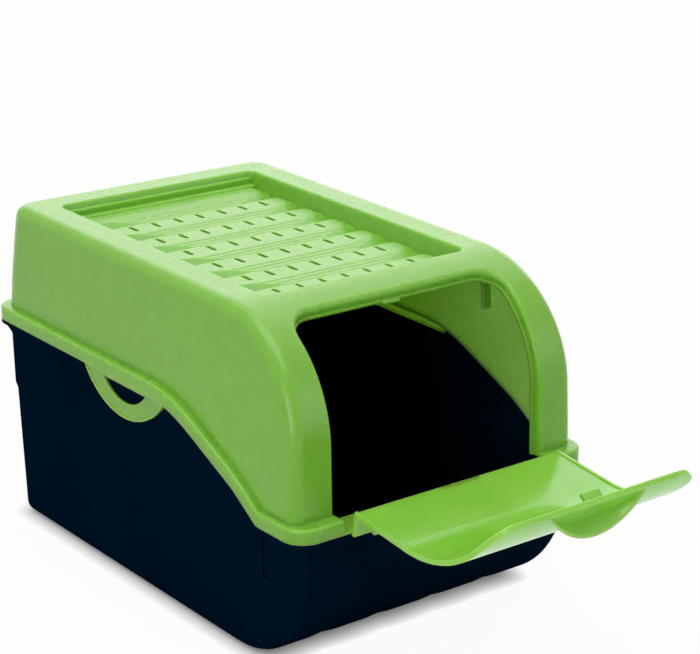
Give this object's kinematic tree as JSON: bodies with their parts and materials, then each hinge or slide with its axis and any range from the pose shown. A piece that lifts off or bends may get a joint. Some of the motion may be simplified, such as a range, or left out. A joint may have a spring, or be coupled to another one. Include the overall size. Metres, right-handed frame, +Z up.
{
  "type": "vegetable storage bin",
  "caption": "Vegetable storage bin with a dark tub, a lift-off green hood lid with a vented tray top and finger-hole side tabs, and a curved hinged hopper door shown open.",
  "frame": {"origin": "on the surface the tub stands on, under the middle of the rim outline", "axes": "+X to the right seen from the door side, -Y towards the door, +Z up"},
  "size_m": [0.25, 0.5171, 0.239],
  "materials": {
    "tub_plastic": "smooth satin moulded plastic, near-black navy",
    "lid_plastic": "smooth satin moulded plastic, fresh green",
    "door_plastic": "smooth satin moulded plastic, fresh green, slightly see-through"
  },
  "bodies": {
    "tub": {"tub": "tub_plastic"},
    "lid": {"lid": "lid_plastic"},
    "door": {"door": "door_plastic"}
  },
  "joints": [
    {"name": "lid_lift", "type": "slide", "parent": "tub", "child": "lid", "axis": [0, 0, 1], "range_m": [0, 0.06]},
    {"name": "door_hinge", "type": "hinge", "parent": "lid", "child": "door", "pos_m": [0, -0.1926, 0.1057], "axis": [1, 0, 0], "range_deg": [-98.8, 0]}
  ]
}
